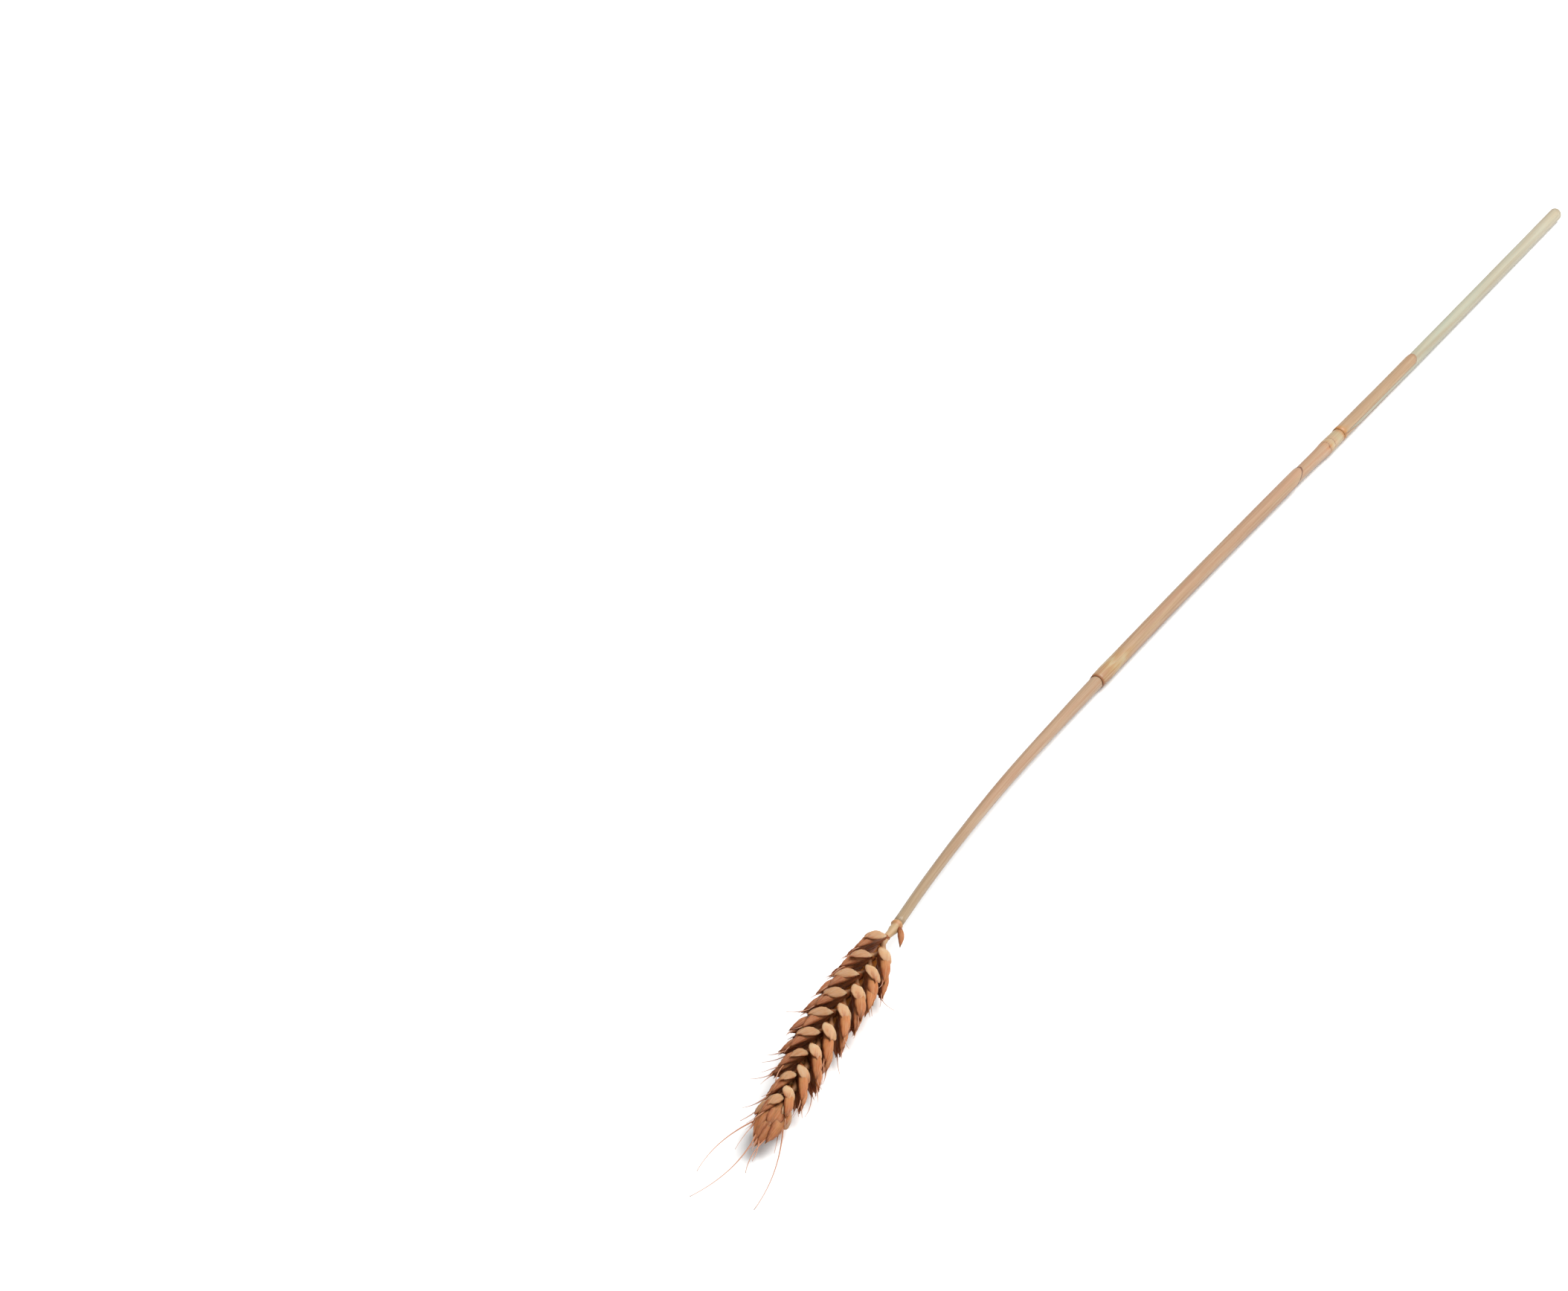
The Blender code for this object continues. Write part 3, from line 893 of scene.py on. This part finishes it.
def buildSterileScale(works, draw, wild):
    here, tipward, left, up = earFrame(sterile["along"])
    axis = (tipward * sterile["axis"][0] + left * sterile["axis"][1]).normalized()
    outward = (tipward * sterile["outward"][0] + left * sterile["outward"][1]).normalized()
    given = (here - left * sterile["aside"], axis, outward, up, 1.0, draw, wild, 0.5, False)
    husk = makeHusk("lemma", sterile["scale"], *given)
    addHuskShell(works["lemma"], husk)
    addHuskBody(works["body"], husk, huskForm["bodyShrink"])


def buildRachis():
    # the rings between two stations follow smoothly
    stations = list(rachis["foot"])
    for number in range(ear["spikelets"]):
        hand = 1.0 if number % 2 == 0 else -1.0
        radius = rachis["radius"] - rachis["taper"] * number / ear["spikelets"]
        swing = rachis["swing"] if number else ear["zigzag"]
        stations.append((ear["firstSpikelet"] + ear["step"] * number, radius, swing * hand))
    stations.append((rachis["length"], rachis["endRadius"], 0.0))
    work = newShape()
    rows = []
    for (d0, r0, o0), (d1, r1, o1) in zip(stations, stations[1:]):
        long = d1 - d0 > rachis["longFrom"]
        steps = rachis["longRings"] if long else rachis["shortRings"]
        for i in range(steps):
            t = i / steps
            smooth = t * t * (3 - 2 * t)
            waist = rachis["waist"] * math.sin(math.pi * t) if long else 0.0
            node = 0.5 + 0.5 * math.cos(2.0 * math.pi * t) if long else 1.0
            radius = r0 + (r1 - r0) * smooth - waist
            rows.append((d0 + (d1 - d0) * t, radius, o0 + (o1 - o0) * smooth, node))
    rows.append(stations[-1] + (1.0,))
    rings = []
    for distance, radius, offset, node in rows:
        here, _, left, up = earFrame(distance)
        flat = rachis["flatness"] if distance > 2.0 else 1.0
        along = distance / rachis["length"]
        ring = []
        for j in range(rachis["sides"]):
            turn = 2.0 * math.pi * j / rachis["sides"]
            rib = 1.0 + rachis["ribHeight"] * math.cos(turn * rachis["ribs"])
            way = left * math.cos(turn) * rachis["across"] + up * math.sin(turn) * flat
            point = here + left * offset
            point += way * (radius * rib)
            grainPlace = Vector((math.cos(turn) * radius, math.sin(turn) * radius, distance))
            ring.append((point, grainPlace, Vector((along, node, along))))
        rings.append(ring)
    addGrid(work, rings, closed=True, capEnds=True)
    return work


rachisLook = {
    "stops": [
        (0.0, seen(204, 152, 96)), (0.012, seen(196, 136, 80)), (0.022, seen(198, 168, 124)),
        (0.10, seen(206, 166, 122)), (0.18, seen(196, 148, 102)), (0.40, seen(176, 118, 70)),
    ],
    # painted shade on the stretches between the nodes
    "betweenShade": seen(140, 84, 44),
    "betweenShadeMost": 0.85,
    "line": seen(190, 140, 92),
    "lines": 0.16,
    "fibreLength": 0.12,
    "fineness": 2.4,
    "bump": 0.5,
    "bumpDepth": 0.0002,
}
awnColours = [(0.0, seen(184, 108, 56)), (0.30, seen(200, 134, 94)), (1.0, seen(214, 166, 140))]


def rachisMaterial():
    material, tree, shader = newMaterial("rachisSkin", Roughness=0.5)
    place, _ = readVector(tree, "grain")
    _, growth = readVector(tree, "growth")
    streaks = useGroup(
        tree, fibres, Place=place, Length=rachisLook["fibreLength"], Fineness=rachisLook["fineness"]
    )
    colour = ramp(tree, growth[0], rachisLook["stops"])
    # painted shade: the stretches between the nodes are darker, but not at the foot
    betweenShade = mapRange(tree, growth[1], 0.1, 0.8, rachisLook["betweenShadeMost"], 0.0)
    above = mapRange(tree, growth[0], 0.10, 0.16)
    colour = mixColour(tree, mathNode(tree, "MULTIPLY", betweenShade, above), colour, rachisLook["betweenShade"])
    lines = mathNode(tree, "MULTIPLY", streaks["Lines"], rachisLook["lines"])
    colour = mixColour(tree, lines, colour, rachisLook["line"])
    tree.links.new(colour, shader.inputs["Base Color"])
    addBump(tree, shader, streaks["Height"], rachisLook["bump"], rachisLook["bumpDepth"])
    return material


def awnMaterial():
    material, tree, shader = newMaterial("awnSkin", Roughness=0.45)
    _, growth = readVector(tree, "growth")
    tree.links.new(ramp(tree, growth[0], awnColours), shader.inputs["Base Color"])
    return material


def buildEar():
    draw = random.Random(ear["seed"])
    wild = random.Random(ear["seed"] + 1)
    works = {key: newShape() for key in ("glume", "lemma", "body", "awn")}
    allTips = []
    for number in range(ear["spikelets"] + 1):
        tips = buildSpikelet(number, works, draw, wild)
        buildBristles(number, tips, works["awn"], draw, wild)
        allTips.append(tips)
    buildSterileScale(works, draw, wild)
    buildLongAwns(allTips, works["awn"], wild)
    buildFineAwns(allTips, works["awn"], wild)
    glumeSkin = huskMaterial("glumeSkin", huskColours["glume"])
    lemmaSkin = huskMaterial("lemmaSkin", huskColours["lemma"])
    finishPiece("earGlumes", works["glume"], glumeSkin, "ear", huskForm["wall"])
    finishPiece("earLemmas", works["lemma"], lemmaSkin, "ear", huskForm["wall"])
    finishPiece("earFlorets", works["body"], lemmaSkin, "ear")
    finishPiece("earAwns", works["awn"], awnMaterial(), "ear")
    finishPiece("earRachis", buildRachis(), rachisMaterial(), "ear")


straw = {
    "radii": [
        (-10.5, 1.45), (20.0, 1.5), (60.0, 1.68), (120.0, 1.95), (143.0, 2.12), (150.0, 2.05),
        (285.0, 2.05), (300.0, 2.2), (312.0, 2.25), (318.0, 2.42), (320.5, 2.62), (322.0, 2.50),
        (325.0, 2.46), (328.0, 2.40), (334.0, 2.25), (380.0, 2.2), (400.0, 2.3), (537.7, 2.35),
    ],
    "sides": 40,
    "ringStep": 2.5,
    "ribs": 17,
    "ribHeight": 0.022,
    "hollow": [(0.0, 1.62), (0.5, 1.55), (6.0, 1.52), (14.0, 1.3)],
    "warp": 0.05,
    "cutSlantDeg": 12.0,
    "cutWidth": 5.0,
    "cutReach": 8.0,
}
sheaths = {
    "flag": {
        "radii": [(143.0, 2.34), (144.5, 2.50), (150.0, 2.60), (158.0, 2.5), (299.0, 2.52)],
        "tongue": 13.0,
        "seamDeg": -100.0,
        "openingDeg": [(0.0, -14.0), (0.80, -14.0), (0.94, 4.0), (1.0, 60.0)],
    },
    "second": {
        "radii": [(330.5, 2.53), (332.0, 2.58), (336.0, 2.51), (376.0, 2.50), (396.0, 2.55)],
        "tongue": 8.0,
        "seamDeg": -70.0,
        "openingDeg": [(0.0, -10.0), (0.06, 14.0), (0.30, 56.0), (0.85, 72.0), (1.0, 118.0)],
    },
    "wall": 0.15,
    "tuck": 0.17,
    "sides": 60,
    "tongueSpread": 5.2,
    "ringStep": 1.8,
    "ribs": 19,
    "ribHeight": 0.018,
    "fray": 0.25,
    "edgeShare": 40.0,
}


def strawFrame(x):
    here = routePoint(x)
    forward = (routePoint(min(x + 1.0, cutEndX)) - routePoint(min(x, cutEndX - 1.0))).normalized()
    side = Vector((0.0, 0.0, 1.0)).cross(forward).normalized()
    return here, side, forward.cross(side).normalized()


def strawPoint(x, turn, radius):
    here, side, up = strawFrame(x)
    return here + (up * math.cos(turn) + side * math.sin(turn)) * radius


def strawEntry(x, turn, radius, along):
    grainPlace = Vector((math.sin(turn) * radius, math.cos(turn) * radius, x))
    return strawPoint(x, turn, radius), grainPlace, Vector((along, 0.5, 0.0))


def buildStraw():
    work = newShape()
    start = straw["radii"][0][0]
    slant = straw["cutWidth"] * math.tan(math.radians(straw["cutSlantDeg"]))
    endX = cutEndX - slant
    count = round((endX - start) / straw["ringStep"])
    rows = []
    for i in range(count + 1):
        x0 = start + (endX - start) * i / count
        ring = []
        for j in range(straw["sides"]):
            turn = 2.0 * math.pi * j / straw["sides"]
            rib = straw["ribHeight"] * math.cos(turn * straw["ribs"] + 0.01 * x0)
            warp = straw["warp"] * noise.noise(Vector((math.cos(turn), math.sin(turn), x0 * 0.03)))
            radius = straight(straw["radii"], x0) + rib + warp
            near = max(0.0, 1.0 - (endX - x0) / straw["cutReach"])
            x = x0 + near * slant * radius * math.cos(turn) / sheaths["tongueSpread"]
            ring.append(strawEntry(x, turn, radius, x0 / cutEndX))
        rows.append(ring)
    for depth, radius in straw["hollow"]:
        ring = []
        for j in range(straw["sides"]):
            turn = 2.0 * math.pi * j / straw["sides"]
            near = max(0.0, 1.0 - depth / straw["cutReach"])
            x = endX - depth + near * slant * radius * math.cos(turn) / sheaths["tongueSpread"]
            ring.append(strawEntry(x, turn, radius, 1.0))
        rows.append(ring)
    addGrid(work, rows, closed=True, capEnds=True)
    return work


def buildSheath(settings):
    # wraps the straw from one edge of its opening round to the other, or past it where they overlap
    work = newShape()
    start, end = settings["radii"][0][0], settings["radii"][-1][0]
    centre = end - settings["tongue"] / 2
    seam = math.radians(settings["seamDeg"])
    rows = []
    count = round((end - start) / sheaths["ringStep"])
    for i in range(count + 1):
        u = i / count
        opening = math.radians(profile(settings["openingDeg"], u))
        outer = straight(settings["radii"], start + (end - start) * u)
        ring = []
        for j in range(sheaths["sides"] + 1):
            v = j / sheaths["sides"]
            turn = seam + v * (2.0 * math.pi - opening)
            tucked = sheaths["tuck"] * max(0.0, v - 0.5) * 2.0
            rib = sheaths["ribHeight"] * math.cos(turn * sheaths["ribs"])
            stop = centre + settings["tongue"] * outer * math.cos(turn) / sheaths["tongueSpread"]
            x = start + (stop - start) * u
            fray = sheaths["fray"] * noise.noise(Vector((turn * 2.0, 0.0, start))) * u**8
            point, grainPlace, _ = strawEntry(x + fray, turn, outer - tucked + rib, u)
            margin = max(0.0, 1.0 - min(v, 1.0 - v) * sheaths["edgeShare"])
            ring.append((point, grainPlace, Vector((u, margin, 0.0))))
        rows.append(ring)
    addGrid(work, rows)
    return work


# how strongly each effect shows on the straw and its sheaths
strawSkin = {
    "fibreLength": 0.02,
    "fineness": 2.3,
    "blotchSize": 0.5,
    "blotchStretch": (1.0, 1.0, 0.12),
    "wobble": 1.1,
    "lines": 0.44,
    "bands": 0.40,
    "flecks": 0.28,
    "roughness": (0.52, 0.40),
    "bump": 0.5,
    "bumpDepth": 0.00016,
}


def streakyMaterial(name, look):
    material, tree, shader = newMaterial(name, Roughness=0.45, Coat_Weight=0.05, Coat_Roughness=0.4)
    place, parts = readVector(tree, "grain")
    _, growth = readVector(tree, "growth")
    streaks = useGroup(
        tree, fibres, Place=place, Length=strawSkin["fibreLength"], Fineness=strawSkin["fineness"]
    )
    longPlace = stretched(tree, place, strawSkin["blotchStretch"])
    marks = useGroup(tree, blotches, Place=longPlace, Size=strawSkin["blotchSize"])
    first, last = look["stops"][0][0], look["stops"][-1][0]
    reach = mathNode(tree, "DIVIDE", mathNode(tree, "SUBTRACT", parts[2], first), last - first)
    uneven = mathNode(tree, "SUBTRACT", marks["Mottle"], 0.5)
    shift = mathNode(tree, "MULTIPLY", uneven, look["patch"] / (last - first))
    colour = ramp(
        tree,
        mathNode(tree, "ADD", reach, shift),
        [((x - first) / (last - first), shade) for x, shade in look["stops"]],
    )
    for x, reachMm, most, shade in look.get("rings", ()):
        wavy = mathNode(tree, "ADD", parts[2], mathNode(tree, "MULTIPLY", uneven, strawSkin["wobble"]))
        away = mathNode(tree, "ABSOLUTE", mathNode(tree, "SUBTRACT", wavy, x))
        colour = mixColour(tree, mapRange(tree, away, 0.0, reachMm, most, 0.0), colour, shade)
    for mask, share, shade in (
        (streaks["Lines"], strawSkin["lines"], look["pale"]),
        (streaks["Bands"], strawSkin["bands"], look["dark"]),
        (marks["Flecks"], strawSkin["flecks"], look["dark"]),
    ):
        colour = mixColour(tree, mathNode(tree, "MULTIPLY", mask, share), colour, shade)
    if "edges" in look:
        edges = look["edges"]
        low, high, most = edges["mouth"]
        colour = mixColour(tree, mapRange(tree, growth[0], low, high, most, 0.0), colour, edges["line"])
        low, high, most = edges["rim"]
        rim = mapRange(tree, growth[0], low, high, 0.0, most)
        colour = mixColour(tree, mathNode(tree, "MAXIMUM", rim, growth[1]), colour, edges["outline"])
    tree.links.new(colour, shader.inputs["Base Color"])
    roughness = mapRange(tree, streaks["Lines"], 0.0, 1.0, *strawSkin["roughness"])
    feed(tree, roughness, shader.inputs["Roughness"])
    addBump(tree, shader, streaks["Height"], strawSkin["bump"], strawSkin["bumpDepth"])
    return material


strawLook = {
    "stops": [
        (-10.5, seen(160, 133, 96)),
        (20.0, seen(164, 131, 96)),
        (70.0, seen(181, 136, 103)),
        (140.0, seen(182, 140, 106)),
        (300.0, seen(190, 142, 107)),
        (314.0, seen(195, 148, 114)),
        (317.9, seen(198, 150, 116)),
        (318.6, seen(168, 92, 38)),
        (319.2, seen(196, 134, 70)),
        (320.2, seen(204, 180, 140)),
        (321.8, seen(204, 176, 132)),
        (322.4, seen(160, 98, 54)),
        (323.1, seen(204, 158, 118)),
        (325.0, seen(194, 174, 132)),
        (328.6, seen(192, 170, 126)),
        (330.0, seen(192, 132, 66)),
        (332.0, seen(180, 177, 151)),
        (400.0, seen(178, 183, 160)),
        (470.0, seen(185, 188, 167)),
        (520.0, seen(194, 192, 170)),
        (537.7, seen(194, 183, 155)),
    ],
    # place, reach, strength and colour of the thin lines round the growth node
    "rings": [
        (317.4, 1.6, 0.45, seen(206, 132, 78)),
        (318.8, 0.50, 1.0, seen(136, 66, 24)),
        (322.4, 0.38, 0.95, seen(128, 70, 32)),
        (330.0, 0.90, 0.85, seen(190, 116, 40)),
    ],
    "pale": seen(210, 188, 154),
    "dark": seen(160, 126, 88),
    "patch": 0.7,
}
flagLook = {
    "stops": [
        (143.0, seen(171, 124, 73)),
        (147.0, seen(174, 130, 68)),
        (150.0, seen(180, 142, 78)),
        (154.0, seen(186, 168, 124)),
        (159.0, seen(174, 130, 70)),
        (166.0, seen(172, 137, 99)),
        (220.0, seen(171, 135, 99)),
        (280.0, seen(174, 137, 103)),
        (290.0, seen(184, 146, 110)),
        (299.0, seen(192, 152, 116)),
    ],
    # each edge: from and to along the sleeve, and its strength
    "edges": {
        "mouth": (0.001, 0.008, 0.8),
        "line": seen(170, 96, 42),
        "rim": (0.992, 0.996, 0.95),
        "outline": seen(128, 82, 56),
    },
    "pale": seen(214, 184, 146),
    "dark": seen(182, 126, 94),
    "patch": 9.0,
}
secondLook = {
    "stops": [
        (330.5, seen(181, 128, 64)),
        (332.5, seen(185, 138, 77)),
        (336.0, seen(181, 147, 108)),
        (365.0, seen(179, 148, 110)),
        (388.0, seen(181, 147, 108)),
        (396.5, seen(185, 139, 98)),
    ],
    "edges": {
        "mouth": (0.004, 0.05, 0.7),
        "line": seen(206, 134, 60),
        "rim": (0.97, 0.99, 0.35),
        "outline": seen(176, 128, 88),
    },
    "pale": seen(216, 188, 152),
    "dark": seen(168, 126, 90),
    "patch": 4.0,
}


def buildStrawPieces():
    wall = sheaths["wall"]
    skin = streakyMaterial("strawSkin", strawLook)
    finishPiece("strawStem", buildStraw(), skin, "stalk")
    skin = streakyMaterial("flagSkin", flagLook)
    finishPiece("flagSleeve", buildSheath(sheaths["flag"]), skin, "flag_leaf_sheath", wall)
    skin = streakyMaterial("secondSkin", secondLook)
    work = buildSheath(sheaths["second"])
    finishPiece("secondSleeve", work, skin, "second_leaf_sheath", wall)


studio = {
    "floorSize": 6.0,
    "floorColour": (0.82, 0.82, 0.815, 1.0),
    "skyStrength": 0.66,
    "keyPower": 192.0,
    "keySize": 2.6,
    "keyPlace": (0.75, -1.25, 3.05),
    "target": (-0.05, 0.0, 0.0),
}
view = {
    "lens": 102.466,
    "fromNeckGround": (-934.75, -464.63, 692.6),
    "heading": (0.88156, 0.47207),
    "pitchDeg": 30.0,
}


def buildFloor():
    bpy.ops.mesh.primitive_plane_add(size=studio["floorSize"], location=(0.0, 0.0, 0.0))
    floor = bpy.context.active_object
    floor.name = "floor"
    material, _, shader = newMaterial("paleFloor", Roughness=0.9)
    shader.inputs["Base Color"].default_value = studio["floorColour"]
    floor.data.materials.append(material)


def addArea(name, place, size, power):
    light = bpy.data.lights.new(name, "AREA")
    light.size = size
    light.energy = power
    lamp = bpy.data.objects.new(name, light)
    bpy.context.scene.collection.objects.link(lamp)
    lamp.location = place
    aim = Vector(studio["target"]) - Vector(place)
    lamp.rotation_euler = aim.to_track_quat("-Z", "Y").to_euler()


def buildLight():
    world = bpy.data.worlds.new("studioSky")
    world.use_nodes = True
    background = world.node_tree.nodes["Background"]
    background.inputs[0].default_value = (1.0, 1.0, 1.0, 1.0)
    background.inputs[1].default_value = studio["skyStrength"]
    bpy.context.scene.world = world
    addArea("keyLight", studio["keyPlace"], studio["keySize"], studio["keyPower"])
    bpy.context.scene.view_settings.view_transform = "Standard"


def buildCamera():
    lens = bpy.data.cameras.new("photoView")
    lens.lens = view["lens"]
    lens.sensor_width = 36.0
    lens.sensor_fit = "HORIZONTAL"
    lens.clip_start = 0.01
    camera = bpy.data.objects.new("photoView", lens)
    bpy.context.scene.collection.objects.link(camera)
    camera.location = toRow(Vector(view["fromNeckGround"]))
    pitch = math.radians(view["pitchDeg"])
    across, along = view["heading"]
    look = Vector((across * math.cos(pitch), along * math.cos(pitch), -math.sin(pitch)))
    camera.rotation_euler = look.to_track_quat("-Z", "Y").to_euler()
    bpy.context.scene.camera = camera


buildCamera()
buildFloor()
buildLight()
print("camera, floor and light are set")
buildStrawPieces()
buildEar()
